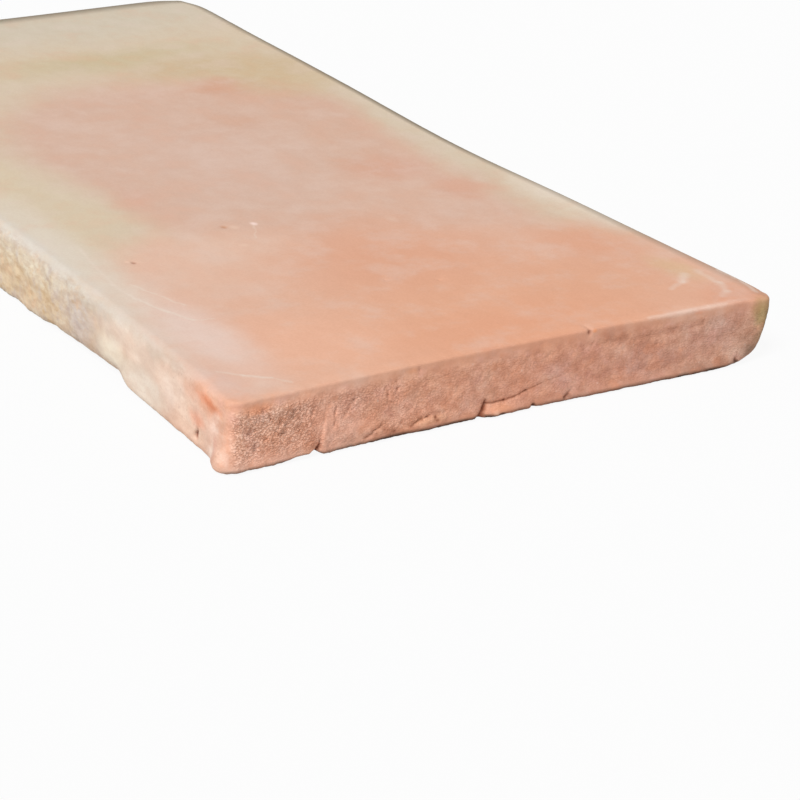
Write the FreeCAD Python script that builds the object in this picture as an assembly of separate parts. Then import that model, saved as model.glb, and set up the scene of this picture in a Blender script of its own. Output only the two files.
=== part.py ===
"""Hand-moulded terracotta floor tile: one slab of fired clay.

The tile lies on its bed face. X runs across its width, Y along its length and Z up, and the origin is at
the middle of the bed. The front end, at -Y, shows the laps where the wet clay was thrown into the mould.
"""
import FreeCAD
import Part
import math
import os

# Size of the fired tile in millimetres, out to where its edges would meet if its corners weren't rounded.
length = 401.0
width = 201.0
thickness = 22.0

# The clay shrinks more along the open middle of each edge than at the corners, so the edges bow in.
side_bow = 3.5
end_bow = 2.5

# The wet clay slumps a little on its bed, so the walls lean in towards the top by this much.
wall_lean = 0.8

# Rounds: the corners in plan, the worn top edge, and the bottom edge that the clay didn't quite fill.
corner_radius = 8.0
side_arris_radius = 4.0
end_arris_radius = 2.0
left_heel_radius = 2.5
right_heel_radius = 8.0
end_heel_radius = 1.2

# Upright lap in the front end: its distance from the left corner, lean, height and mouth. It is open at the
# bed, so its groove starts below it.
upright_lap_from_left = 29.5
upright_lap_lean = 2.0
upright_lap_height = 15.0
upright_lap_mouth = 1.9
upright_lap_start_below = 2.5

# Slanted lap in the front end: where its open end is, how far it runs and climbs, and its mouth.
slanted_lap_from_left = 86.5
slanted_lap_start_height = 2.5
slanted_lap_run = 30.0
slanted_lap_climb = 6.0
slanted_lap_mouth = 1.7

# A lap closes to a hairline at its far end.
lap_tip_radius = 0.15

# Long scoop in the left bottom edge, short of clay: distance from the front end, length and depth.
scoop_from_front = 88.0
scoop_length = 90.0
scoop_depth = 5.0

# An edge belongs to the top or bottom rim if it stays this close to that rim's height.
rim_tolerance = 0.1


def bowed_outline(inset, height):
    """Closed outline of the tile at a height, with its four edges bowed in."""
    half_width = width / 2 - inset
    half_length = length / 2 - inset
    corners = [(-half_width, -half_length), (half_width, -half_length),
               (half_width, half_length), (-half_width, half_length)]
    middles = [(0, end_bow - half_length), (half_width - side_bow, 0),
               (0, half_length - end_bow), (side_bow - half_width, 0)]
    edges = []
    for number, middle in enumerate(middles):
        start = corners[number]
        end = corners[(number + 1) % len(corners)]
        points = [FreeCAD.Vector(x, y, height) for x, y in (start, middle, end)]
        edges.append(Part.Arc(*points).toShape())
    return Part.Wire(edges)


def round_corners(slab):
    """The slab with its four upright corners rounded."""
    upright = [edge for edge in slab.Edges if edge.BoundBox.ZLength > thickness / 2]
    return slab.makeFillet(corner_radius, upright)


def radius_near(point, left_radius, right_radius, end_radius):
    """The round at a point of the rim, by the edge that the point is on."""
    to_side = width / 2 - abs(point.x)
    to_end = length / 2 - abs(point.y)
    if to_end < to_side:
        return end_radius
    return left_radius if point.x < 0 else right_radius


def round_rim(slab, height, left_radius, right_radius, end_radius):
    """The slab with the rim at a height rounded, changing smoothly round the corners between the radii."""
    document = FreeCAD.newDocument("rim")
    base = document.addObject("Part::Feature", "base")
    base.Shape = slab
    rounds = []
    for number, edge in enumerate(slab.Edges, start=1):
        ends = [edge.valueAt(edge.FirstParameter), edge.valueAt(edge.LastParameter)]
        if any(abs(point.z - height) > rim_tolerance for point in ends):
            continue
        radii = [radius_near(point, left_radius, right_radius, end_radius) for point in ends]
        rounds.append((number, radii[0], radii[1]))
    fillet = document.addObject("Part::Fillet", "fillet")
    fillet.Base = base
    fillet.Edges = rounds
    document.recompute()
    rounded = fillet.Shape.copy()
    FreeCAD.closeDocument(document.Name)
    return rounded


def on_front(from_left, height):
    """A point on the front end's bowed and leaning face, from the left corner and the bed."""
    x = from_left - width / 2
    bow = end_bow * (1 - (2 * x / width) ** 2)
    lean = wall_lean * height / thickness
    return FreeCAD.Vector(x, bow + lean - length / 2, height)


def lap(start, end, mouth):
    """A lap's groove, which narrows from its mouth at the start to a hairline at the end."""
    run = end - start
    return Part.makeCone(mouth, lap_tip_radius, run.Length, start, run)


def front_laps():
    """The grooves of the laps that show in the front end."""
    upright = lap(on_front(upright_lap_from_left, -upright_lap_start_below),
                  on_front(upright_lap_from_left + upright_lap_lean, upright_lap_height), upright_lap_mouth)
    slanted = lap(on_front(slanted_lap_from_left, slanted_lap_start_height),
                  on_front(slanted_lap_from_left + slanted_lap_run,
                           slanted_lap_start_height + slanted_lap_climb), slanted_lap_mouth)
    return [upright, slanted]


def side_scoop():
    """A large ball that takes the long scoop out of the left bottom edge."""
    radius = ((scoop_length / 2) ** 2 + scoop_depth ** 2) / (2 * scoop_depth)
    y = scoop_from_front - length / 2
    edge_x = side_bow * (1 - (2 * y / length) ** 2) - width / 2
    reach = (radius - scoop_depth) / math.sqrt(2)
    return Part.makeSphere(radius, FreeCAD.Vector(edge_x - reach, y, -reach))


def terracotta_tile():
    """The whole tile."""
    slab = Part.makeLoft([bowed_outline(0, 0), bowed_outline(wall_lean, thickness)], True, True)
    slab = round_corners(slab)
    slab = round_rim(slab, thickness, side_arris_radius, side_arris_radius, end_arris_radius)
    slab = round_rim(slab, 0, left_heel_radius, right_heel_radius, end_heel_radius)
    return slab.cut([*front_laps(), side_scoop()])


def main():
    os.makedirs("parts", exist_ok=True)
    tile = terracotta_tile()
    box = tile.optimalBoundingBox()
    print(f"solids {len(tile.Solids)}, valid {tile.isValid()}, volume {tile.Volume / 1000:.1f} cm3")
    print(f"across {box.XLength:.2f}, along {box.YLength:.2f}, thick {box.ZLength:.2f} mm")
    tile.Solids[0].exportStep("parts/terracotta_tile.step")


main()
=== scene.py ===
# %% [markdown]
# A hand-moulded terracotta floor tile. It is one slab of fired clay, so the whole scene has one piece. The
# exact solid fixes its size and where it lies. Here the slab gets what a solid can't hold: rough sanded
# walls, laps and dents in the clay, and the colours that the fire left. The frame is loaded first, because
# every later size is worked out from the solid's own box.

# %% Load the frame
import math

import bpy
import numpy as np
from mathutils import Matrix, Vector
from mathutils.geometry import delaunay_2d_cdt


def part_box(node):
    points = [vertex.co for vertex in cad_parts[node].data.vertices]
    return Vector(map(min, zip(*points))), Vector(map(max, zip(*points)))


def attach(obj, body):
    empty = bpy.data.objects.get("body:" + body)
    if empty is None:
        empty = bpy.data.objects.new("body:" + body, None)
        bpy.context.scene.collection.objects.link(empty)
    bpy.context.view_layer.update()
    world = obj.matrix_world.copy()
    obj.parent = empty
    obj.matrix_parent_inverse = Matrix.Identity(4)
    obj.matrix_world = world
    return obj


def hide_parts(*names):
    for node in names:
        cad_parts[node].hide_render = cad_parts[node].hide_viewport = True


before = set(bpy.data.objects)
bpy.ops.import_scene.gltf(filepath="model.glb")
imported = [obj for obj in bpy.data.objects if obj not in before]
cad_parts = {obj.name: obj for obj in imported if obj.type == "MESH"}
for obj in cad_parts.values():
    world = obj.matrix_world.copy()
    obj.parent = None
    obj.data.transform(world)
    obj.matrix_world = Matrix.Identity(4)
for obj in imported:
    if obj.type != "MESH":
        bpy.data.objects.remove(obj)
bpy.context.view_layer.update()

MM = 0.001
low_corner, high_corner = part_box("terracotta_tile")
half_width = (high_corner.x - low_corner.x) / 2 / MM
half_length = (high_corner.y - low_corner.y) / 2 / MM
thickness = (high_corner.z - low_corner.z) / MM
print(f"solid: {2 * half_width:.1f} x {2 * half_length:.1f} x {thickness:.1f} mm")

# %% [markdown]
# The camera looks down on the near left corner. It could be aimed with a Track To constraint, but then its
# roll is lost, so its turn is put together from three rotations: the roll about its own view line, the tilt
# up from looking straight down, and the turn about the upright axis.

# %% Camera
CAMERA_PLACE = Vector((-443.25, -808.44, 325.84)) * MM
CAMERA_TURN = math.radians(33.34)
CAMERA_TILT_DOWN = math.radians(23.243)
CAMERA_ROLL = math.radians(2.79)
# Focal length and sensor width in mm.
CAMERA_LENS = 121.29
CAMERA_SENSOR = 36.0
camera_data = bpy.data.cameras.new("camera")
camera_data.lens = CAMERA_LENS
camera_data.sensor_width = CAMERA_SENSOR
camera = bpy.data.objects.new("camera", camera_data)
bpy.context.scene.collection.objects.link(camera)
camera.matrix_world = (Matrix.Translation(CAMERA_PLACE)
                       @ Matrix.Rotation(-CAMERA_TURN, 4, "Z")
                       @ Matrix.Rotation(math.pi / 2 - CAMERA_TILT_DOWN, 4, "X")
                       @ Matrix.Rotation(CAMERA_ROLL, 4, "Z"))
bpy.context.scene.camera = camera
bpy.context.scene.view_settings.view_transform = "Standard"
print(f"camera at {[round(v, 3) for v in camera.location]} m, lens {CAMERA_LENS} mm")

# %% [markdown]
# Materials and geometry trees are both made of nodes. A few small helpers keep the later cells short. They
# make a node and fill its sockets, with plain values or with links from other nodes, hand back the result of
# a sum, ease a number from one value to another and make a group with named sockets. Colours are written as
# they look on a screen, so one more helper turns them into Blender's own.

# %% Node helpers
def add_node(tree, kind, inputs=None, **settings):
    """A new node. Inputs are socket names or numbers, with a plain value or a socket to link from."""
    node = tree.nodes.new(kind)
    for name, value in settings.items():
        setattr(node, name, value)
    for key, value in (inputs or {}).items():
        if isinstance(value, bpy.types.NodeSocket):
            tree.links.new(value, node.inputs[key])
        else:
            node.inputs[key].default_value = value
    return node


def calculate(tree, operation, *values):
    """The result of a Math node."""
    node = add_node(tree, "ShaderNodeMath", dict(enumerate(values)), operation=operation)
    return node.outputs[0]


def multiply(tree, first, *others):
    """The product of two or more numbers."""
    for value in others:
        first = calculate(tree, "MULTIPLY", first, value)
    return first


def calculate_vector(tree, operation, *values):
    """The result of a Vector Math node: a vector, or a number where the operation gives one."""
    node = add_node(tree, "ShaderNodeVectorMath", dict(enumerate(values)), operation=operation)
    return node.outputs["Value" if operation in ("LENGTH", "DISTANCE", "DOT_PRODUCT") else "Vector"]


def scaled(tree, vector, factor):
    """A vector times a number."""
    node = add_node(tree, "ShaderNodeVectorMath", {0: vector, "Scale": factor}, operation="SCALE")
    return node.outputs["Vector"]


def ramp(tree, value, start, end, low=0.0, high=1.0):
    """A number that goes smoothly from low to high as the value goes from start to end."""
    node = add_node(tree, "ShaderNodeMapRange",
                    {"Value": value, "From Min": start, "From Max": end, "To Min": low, "To Max": high},
                    interpolation_type="SMOOTHSTEP")
    return node.outputs["Result"]


def make_group(name, kind, inputs, outputs):
    """A node group with named sockets. Returns the group, what it is given and what it has to fill."""
    tree = bpy.data.node_groups.new(name, kind)
    for direction, sockets in (("INPUT", inputs), ("OUTPUT", outputs)):
        for socket_name, socket_type, default in sockets:
            socket = tree.interface.new_socket(socket_name, in_out=direction, socket_type=socket_type)
            if default is not None:
                socket.default_value = default
    return tree, tree.nodes.new("NodeGroupInput").outputs, tree.nodes.new("NodeGroupOutput").inputs


def paint(red, green, blue):
    """A colour as it looks on a screen, from 0 to 255, turned into Blender's linear colour."""
    return [((v / 255 + 0.055) / 1.055) ** 2.4 for v in (red, green, blue)] + [1.0]


print("helpers ready")

# %% [markdown]
# The tile lies on a plain white floor under soft light: an even sky, and one broad lamp, high on the left,
# that grazes the front end and so shows its sandy grain. The light adds up to about one on the wear face,
# where a colour then looks as it is written. Where the sky itself is seen it is plain white, and the floor is
# lifted towards the same white and keeps a faint shadow.

# %% Sky and lamp
SKY_STRENGTH = 0.35
LAMP_STRENGTH = 2.5
LAMP_SPREAD = math.radians(22)
LAMP_FROM = Vector((-0.53, -0.31, 0.79))
WHITE = (1, 1, 1, 1)


def seen_directly(tree):
    """1 for rays that show a thing to the eye: from the camera, off a mirror or through glass."""
    rays = tree.nodes.new("ShaderNodeLightPath").outputs
    seen = calculate(tree, "MAXIMUM", rays["Is Camera Ray"], rays["Is Glossy Ray"])
    return calculate(tree, "MAXIMUM", seen, rays["Is Transmission Ray"])


world = bpy.data.worlds.new("sky")
bpy.context.scene.world = world
world.use_nodes = True
sky_tree = world.node_tree
background = sky_tree.nodes["Background"]
background.inputs["Color"].default_value = WHITE
sky_strength = calculate(sky_tree, "MULTIPLY_ADD", seen_directly(sky_tree), 1 - SKY_STRENGTH, SKY_STRENGTH)
sky_tree.links.new(sky_strength, background.inputs["Strength"])

lamp_data = bpy.data.lights.new("broad_lamp", "SUN")
lamp_data.energy = LAMP_STRENGTH
lamp_data.angle = LAMP_SPREAD
lamp = bpy.data.objects.new("broad_lamp", lamp_data)
lamp.rotation_euler = LAMP_FROM.to_track_quat("Z", "Y").to_euler()
bpy.context.scene.collection.objects.link(lamp)
print(f"sky {SKY_STRENGTH}, lamp {LAMP_STRENGTH}")

# %% Floor
# Half of the floor's side in m, its own whiteness, and how far it is lifted towards pure white.
FLOOR_REACH = 6.0
FLOOR_WHITENESS = 0.7
FLOOR_LIFT = 0.93
floor_mesh = bpy.data.meshes.new("floor")
floor_corners = [(-1, -1, 0), (1, -1, 0), (1, 1, 0), (-1, 1, 0)]
floor_mesh.from_pydata([Vector(corner) * FLOOR_REACH for corner in floor_corners], [], [(0, 1, 2, 3)])
floor = bpy.data.objects.new("floor", floor_mesh)
bpy.context.scene.collection.objects.link(floor)
floor_finish = bpy.data.materials.new("white_floor")
floor_finish.use_nodes = True
tree = floor_finish.node_tree
tree.nodes.clear()
diffuse = add_node(tree, "ShaderNodeBsdfDiffuse", {"Color": (FLOOR_WHITENESS,) * 3 + (1,)})
glow = add_node(tree, "ShaderNodeEmission", {"Color": WHITE, "Strength": 1.0})
lift = multiply(tree, seen_directly(tree), FLOOR_LIFT)
mixed = add_node(tree, "ShaderNodeMixShader", {0: lift, 1: diffuse.outputs[0], 2: glow.outputs[0]})
add_node(tree, "ShaderNodeOutputMaterial", {"Surface": mixed.outputs[0]})
floor_mesh.materials.append(floor_finish)
print(f"floor: {2 * FLOOR_REACH} m wide")

# %% [markdown]
# The slab's walls are a section, swept round the outline: a worn top edge, the wall, and a bottom edge that
# the clay didn't quite fill. A cube with a Bevel modifier would give even edges, but here both rounds change
# on the way round, so the wall is built ring by ring. Places on the way round count from the near left
# corner: 0 to 1 along the front end, 1 to 2 up the right side, 2 to 3 along the far end and 3 to 4 back
# down the left side.

# %% Outline
CORNER_RADIUS = 4.5
ARC_POINTS = 65
# Steps between the columns of the front, right, far and left walls, and near a corner.
WALL_STEPS = (0.42, 1.3, 1.2, 0.6)
CORNER_STEP = 0.55
CORNER_REACH = 14.0
# The outline is first walked in steps as fine as this.
FINE_STEP = 0.05


def rounded_outline():
    """Points, outward directions and places on the way round a rectangle with rounded corners."""
    points, directions = [], []
    corners = [(-1, -1, 225, 270), (1, -1, 270, 360), (1, 1, 0, 90), (-1, 1, 90, 180), (-1, -1, 180, 225)]
    for side_x, side_y, start, end in corners:
        centre = np.array([side_x * (half_width - CORNER_RADIUS), side_y * (half_length - CORNER_RADIUS)])
        for angle in np.radians(np.linspace(start, end, ARC_POINTS)):
            direction = np.array([math.cos(angle), math.sin(angle)])
            points.append(centre + CORNER_RADIUS * direction)
            directions.append(direction)
    points, directions = np.array(points), np.array(directions)
    walked = np.concatenate([[0], np.cumsum(np.linalg.norm(np.diff(points, axis=0), axis=1))])
    marks = walked[[0, *(k * ARC_POINTS + ARC_POINTS // 2 for k in (1, 2, 3)), -1]]
    fine = np.arange(0, walked[-1], FINE_STEP)
    side = np.searchsorted(marks, fine, side="right") - 1
    step = np.array(WALL_STEPS)[np.clip(side, 0, len(WALL_STEPS) - 1)]
    to_corner = np.abs(fine[:, None] - marks).min(axis=1)
    step = np.where(to_corner < CORNER_REACH, np.minimum(step, CORNER_STEP), step)
    steps_taken = np.cumsum(FINE_STEP / step)
    stops = np.interp(np.arange(int(steps_taken[-1])), steps_taken, fine)
    points = np.stack([np.interp(stops, walked, points[:, k]) for k in (0, 1)], axis=1)
    directions = np.stack([np.interp(stops, walked, directions[:, k]) for k in (0, 1)], axis=1)
    directions /= np.linalg.norm(directions, axis=1, keepdims=True)
    return points, directions, np.interp(stops, marks, range(len(marks)))


outline, outward, way_round = rounded_outline()
print(f"outline: {len(outline)} points")


# %% Rounds of the top and bottom edges
def front_at(x):
    """The place on the way round of a point of the front end."""
    return (x + half_width) / (2 * half_width)


def right_at(y):
    """The place on the way round of a point of the right side."""
    return 1 + (y + half_length) / (2 * half_length)


def left_at(y):
    """The place on the way round of a point of the left side."""
    return 3 + (half_length - y) / (2 * half_length)


def radius_round(stops, smooth_columns=9):
    """A radius for each column of the wall, eased between given stops of place and radius."""
    places, radii = zip(*stops)
    values = np.interp(way_round, places, radii)
    window = np.hanning(smooth_columns + 2)[1:-1]
    wrapped = np.concatenate([values[-smooth_columns:], values, values[:smooth_columns]])
    return np.convolve(wrapped, window / window.sum(), mode="same")[smooth_columns:-smooth_columns]


TOP_ROUNDS = [(0, 0.9), (front_at(-92), 0.6), (front_at(-70), 0.5), (front_at(85), 0.5), (1, 1.0),
              (right_at(-185), 1.6), (right_at(-120), 2.4), (right_at(170), 3.4), (2, 3.0), (2.1, 2.6),
              (2.9, 2.4), (3, 3.4), (left_at(170), 4.0), (left_at(-150), 4.0), (left_at(-182), 3.0), (4, 0.9)]
BOTTOM_ROUNDS = [(0, 1.6), (front_at(-88), 1.0), (front_at(78), 0.9), (front_at(90), 3.0), (1, 3.6),
                 (right_at(-192), 4.0), (right_at(-178), 6.5), (right_at(150), 6.5), (2, 3.8), (2.12, 2.2),
                 (2.88, 2.2), (3, 3.6), (left_at(150), 2.5), (left_at(-38), 2.0), (left_at(-62), 2.0),
                 (left_at(-82), 5.4), (left_at(-114), 8.0), (left_at(-121), 8.0), (left_at(-132), 2.8),
                 (left_at(-150), 2.4), (left_at(-188), 2.0), (4, 1.6)]
top_round = radius_round(TOP_ROUNDS)
bottom_round = radius_round(BOTTOM_ROUNDS)
print(f"top edge {top_round.min():.1f} to {top_round.max():.1f} mm, "
      f"bottom edge {bottom_round.min():.1f} to {bottom_round.max():.1f} mm")

# %% Wall
WALL_RINGS = 42


def section(arris, heel, ring_count):
    """Insets from the outline and heights of the rings, evenly spaced down each column's own section."""
    arris, heel = arris[:, None], heel[:, None]
    arris_length = arris * math.pi / 2
    wall_length = thickness - arris - heel
    down = (arris_length + wall_length + heel * math.pi / 2) * np.linspace(0, 1, ring_count)
    over_arris = np.clip(down / arris, 0, math.pi / 2)
    down_wall = np.clip(down - arris_length, 0, wall_length)
    under_heel = np.clip((down - arris_length - wall_length) / heel, 0, math.pi / 2)
    inset = arris * (1 - np.sin(over_arris)) + heel * (1 - np.cos(under_heel))
    height = thickness - arris * (1 - np.cos(over_arris)) - down_wall - heel * np.sin(under_heel)
    return inset, height


inset, height = section(top_round, bottom_round, WALL_RINGS)
ring_points = outline[:, None, :] - inset[:, :, None] * outward[:, None, :]
wall_points = np.concatenate([ring_points, height[:, :, None]], axis=2)
columns = len(outline)


def wall_corner(column, ring):
    """Number of a wall point, with the columns closing round the tile."""
    return column % columns * WALL_RINGS + ring


wall_faces = [(wall_corner(c, r), wall_corner(c, r + 1), wall_corner(c + 1, r + 1), wall_corner(c + 1, r))
              for c in range(columns) for r in range(WALL_RINGS - 1)]
print(f"wall: {columns} columns of {WALL_RINGS} rings")

# %% [markdown]
# The wear face and the bed are nearly flat, so they need far fewer points than the walls. A grid that meets
# the wall's fine rings would be fine all over. Delaunay's way of joining points into triangles lets the
# spacing grow from the rim inwards, and lets a pit have a few close rings of its own.

# %% Wear face and bed
# Depths inside the rim, and the spacing of the points from there on.
WEAR_SPACING = [(1.2, 1.6), (6.0, 3.0)]
BED_SPACING = [(1.5, 2.5), (7.0, 6.0)]
# Place on the true slab, before it bows, radius and depth of each pit.
PITS = [(-74.6, -86.0, 0.9, 0.45), (-30.7, -68.9, 1.3, 0.35), (9.0, -143.3, 0.7, 0.3),
        (-7.2, -135.7, 0.7, 0.25)]
# Rings of points in and round a pit, as shares of its radius, and how each ring is filled and turned.
PIT_RINGS = (0.0, 0.35, 0.7, 1.1, 1.7)
PIT_RING_POINTS = 12
PIT_RING_TURN = 0.25
PIT_STRETCH = 1.25
PIT_CLEARANCE = 1 / 3
# For the joining of points: keep what is inside the rim, and take points this close for one.
KEEP_INSIDE = 1
SAME_POINT = 1e-7


def depth_inside(points, rim_round):
    """How far points lie inside the rounded outline, less the widest round of the rim."""
    beyond = np.abs(points) - np.array([half_width, half_length]) + CORNER_RADIUS
    outside = np.linalg.norm(np.maximum(beyond, 0), axis=1)
    return CORNER_RADIUS - outside - np.minimum(beyond.max(axis=1), 0) - rim_round.max()


def spread_points(rim_round, spacings, pits):
    """Points inside a face, closer together near its rim and round its pits."""
    spread = []
    for number, (start, spacing) in enumerate(spacings):
        x = np.arange(-half_width, half_width, spacing)
        y = np.arange(-half_length, half_length, spacing * math.sqrt(3) / 2)
        grid = np.stack(np.meshgrid(x, y), axis=2)
        grid[1::2, :, 0] += spacing / 2
        grid = grid.reshape(-1, 2)
        depth = depth_inside(grid, rim_round)
        end = spacings[number + 1][0] if number + 1 < len(spacings) else np.inf
        spread.append(grid[(depth > start) & (depth <= end)])
    points = np.concatenate(spread)
    for x, y, radius, _ in pits:
        away = np.linalg.norm(points - (x, y), axis=1)
        clear = spacings[-1][1] * PIT_CLEARANCE
        points = points[away > radius * PIT_RINGS[-1] * PIT_STRETCH + clear]
        for ring, share in enumerate(PIT_RINGS):
            count = PIT_RING_POINTS if ring else 1
            for angle in np.linspace(0, 2 * math.pi, count, endpoint=False) + ring * PIT_RING_TURN:
                step = radius * share * np.array([math.cos(angle), PIT_STRETCH * math.sin(angle)])
                points = np.concatenate([points, [np.array([x, y]) + step]])
    return points


def fill_face(rim, inner):
    """Triangles over a face, as numbers of its rim points and then of its inner points."""
    everything = [Vector(p) for p in np.concatenate([rim, inner])]
    loop = [(k, (k + 1) % len(rim)) for k in range(len(rim))]
    _, _, faces, origins, _, _ = delaunay_2d_cdt(everything, loop, [], KEEP_INSIDE, SAME_POINT)
    return [[origins[corner][0] for corner in face] for face in faces]


wear_inner = spread_points(top_round, WEAR_SPACING, PITS)
bed_inner = spread_points(bottom_round, BED_SPACING, [])
wear_faces = fill_face(wall_points[:, 0, :2], wear_inner)
bed_faces = fill_face(wall_points[:, -1, :2], bed_inner)
print(f"wear face: {len(wear_faces)} triangles, bed: {len(bed_faces)} triangles")

# %% Join the slab
wear_start = columns * WALL_RINGS
bed_start = wear_start + len(wear_inner)
wear_points = np.column_stack([wear_inner, np.full(len(wear_inner), thickness)])
bed_points = np.column_stack([bed_inner, np.zeros(len(bed_inner))])
points = np.concatenate([wall_points.reshape(-1, 3), wear_points, bed_points])


def renumber(faces, ring, inner_start, flip):
    """Faces of one side in the whole slab's numbers."""
    numbers = [[wall_corner(k, ring) if k < columns else inner_start + k - columns for k in face]
               for face in faces]
    return [face[::-1] for face in numbers] if flip else numbers


faces = [*wall_faces,
         *renumber(wear_faces, 0, wear_start, flip=False),
         *renumber(bed_faces, WALL_RINGS - 1, bed_start, flip=True)]
print(f"slab: {len(points)} points, {len(faces)} faces")

# %% [markdown]
# Next the slab is put out of true, as drying and firing leave it. The edges bow in between the corners, the
# right side has a waist near its middle, and the walls lean in a little towards the top. Each is a formula
# on the points, so the walls and faces move together and no seam opens.

# %% Bow, waist and lean
SIDE_BOW = 3.4
END_BOW = 2.5
WALL_LEAN = 0.8
WAIST_DEPTH = 3.2
WAIST_PLACE = -22.0
WAIST_LENGTH = 60.0

x, y, z = points.T
true_x, true_y = x.copy(), y.copy()
edge_depth = depth_inside(points[:, :2], np.zeros(1))
across, along = x / half_width, y / half_length
side_shift = SIDE_BOW * (1 - along ** 2) + WALL_LEAN * z / thickness
end_shift = END_BOW * (1 - across ** 2) + WALL_LEAN * z / thickness
waist = WAIST_DEPTH * np.exp(-((y - WAIST_PLACE) / WAIST_LENGTH) ** 2) * np.clip(across, 0, 1) ** 3
points = np.column_stack([x - across * side_shift - waist, y - along * end_shift, z])
print(f"bowed slab: {np.ptp(points[:, 0]):.1f} mm across, {np.ptp(points[:, 1]):.1f} mm along")

# %% [markdown]
# The front end shows how the clay was thrown into the mould: two laps, where one lump met another, a rolled
# lip along the bottom edge, tears, pocks and nicks. Sculpting by hand couldn't be repeated, so each fault is
# a push, a soft-edged ellipsoid that shoves the points in it, or a crease, which follows a short line. A
# crease is narrow and sharp, and a push is round. The depth of the creases and holes is kept, so that the
# finish can paint shade into them.

# %% Pushes and creases
INTO_FRONT = (0, 1, 0)
INTO_LEFT = (1, 0, 0)
# A point is near a wall if it lies within this many mm of the wall's outermost place.
WALL_BAND = 12
pressed = np.zeros(len(points))


def push(at, size, shove, hollow=0.0):
    """Shove the points near a place. Size is the reach along each axis, and all lengths are in mm."""
    nearness = np.exp(-(((points - np.array(at)) / np.array(size)) ** 2).sum(axis=1))
    # Hollow adds to the depth that the finish darkens as painted shade.
    pressed[:] = pressed + hollow * nearness
    points[:] = points + nearness[:, None] * np.array(shove)


def wall_reach(inward):
    """How far out, against an inward direction, the points of that wall begin."""
    return (half_length if inward[1] else half_width) - WALL_BAND


def crease(line, widths, depths, inward):
    """Press a groove along a line of points on a wall. Width and depth run from its start to its end."""
    line = np.array(line, float)
    flat = points[:, (0, 2) if inward[1] else (1, 2)]
    near_wall = points @ np.array(inward) < -wall_reach(inward)
    best = np.full(len(points), np.inf)
    share = np.zeros(len(points))
    lengths = np.linalg.norm(np.diff(line, axis=0), axis=1)
    walked = np.concatenate([[0], np.cumsum(lengths)]) / lengths.sum()
    for k in range(len(line) - 1):
        run = line[k + 1] - line[k]
        t = np.clip(((flat - line[k]) @ run) / (run @ run), 0, 1)
        away = np.linalg.norm(flat - line[k] - t[:, None] * run, axis=1)
        closer = away < best
        best[closer] = away[closer]
        share[closer] = (walked[k] + t * (walked[k + 1] - walked[k]))[closer]
    width = np.interp(share, [0, 1], widths)
    depth = np.interp(share, [0, 1], depths)
    press = depth * np.exp(-(best / width) ** 2) * near_wall
    pressed[:] = pressed + press
    points[:] = points + press[:, None] * np.array(inward)


print("pushes and creases ready")

# %% Upright lap
# The upright lap and the notch where it runs out at the bed.
crease([(-70.0, -1.0), (-69.4, 2.4), (-68.9, 4.6)], (0.6, 0.3), (1.7, 0.5), INTO_FRONT)
crease([(-68.9, 4.6), (-68.0, 9.5), (-67.1, 14.8)], (0.45, 0.45), (0.35, 0.1), INTO_FRONT)
push((-70.4, -199, 0), (1.8, 5, 3.0), (0, 0.5, 1.3))
push((-75.5, -199, 0), (4.5, 5, 3.0), (0, 0.2, 0.8))
push((-67.4, -199, 5), (1.2, 5, 6), (0, -0.45, 0))
print(f"upright lap: up to {pressed.max():.1f} mm deep")

# %% Rolled lip
# The rolled lip: two lumps on the bottom edge, each with a crease over it.
push((-46.5, -199, 1.5), (5, 5, 2.0), (0, -0.3, 0.2))
push((-29.5, -199, 2.5), (6, 5, 2.0), (0, -0.8, 0))
crease([(-53.4, 1.9), (-51.0, 2.8), (-50.2, 3.8), (-48.4, 4.2), (-47.4, 5.3)], (0.5, 0.4), (0.7, 0.4),
       INTO_FRONT)
crease([(-40.5, 4.2), (-39.1, 3.0), (-37.0, 2.6)], (0.6, 0.5), (0.5, 0.4), INTO_FRONT)
crease([(-35.9, 3.0), (-33.0, 4.6), (-29.5, 4.9), (-24.7, 4.9)], (0.55, 0.45), (0.6, 0.3), INTO_FRONT)
crease([(-24.7, 4.9), (-23.9, 3.6), (-24.3, 2.0)], (0.4, 0.4), (0.25, 0.2), INTO_FRONT)
# Pocks in the lip: X, Z, width, height and depth.
POCKS = [(-33.2, 3.9, 0.5, 0.4, 0.3), (-31.4, 4.3, 0.9, 0.4, 0.4), (-28.6, 3.9, 0.6, 0.6, 0.5),
         (-27.9, 2.7, 0.9, 0.5, 0.4), (-25.6, 3.9, 0.5, 0.8, 0.3), (-49.4, 2.6, 0.8, 0.4, 0.4),
         (-46.5, 3.6, 0.6, 0.5, 0.3), (-43.0, 2.1, 1.0, 0.5, 0.4)]
POCK_REACH = 4
POCK_SHADE = 3
for pock_x, pock_z, pock_width, pock_height, pock_depth in POCKS:
    push((pock_x, -199, pock_z), (pock_width, POCK_REACH, pock_height), (0, pock_depth, 0),
         hollow=POCK_SHADE * pock_depth)
print(f"rolled lip: {len(POCKS)} pocks")

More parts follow.
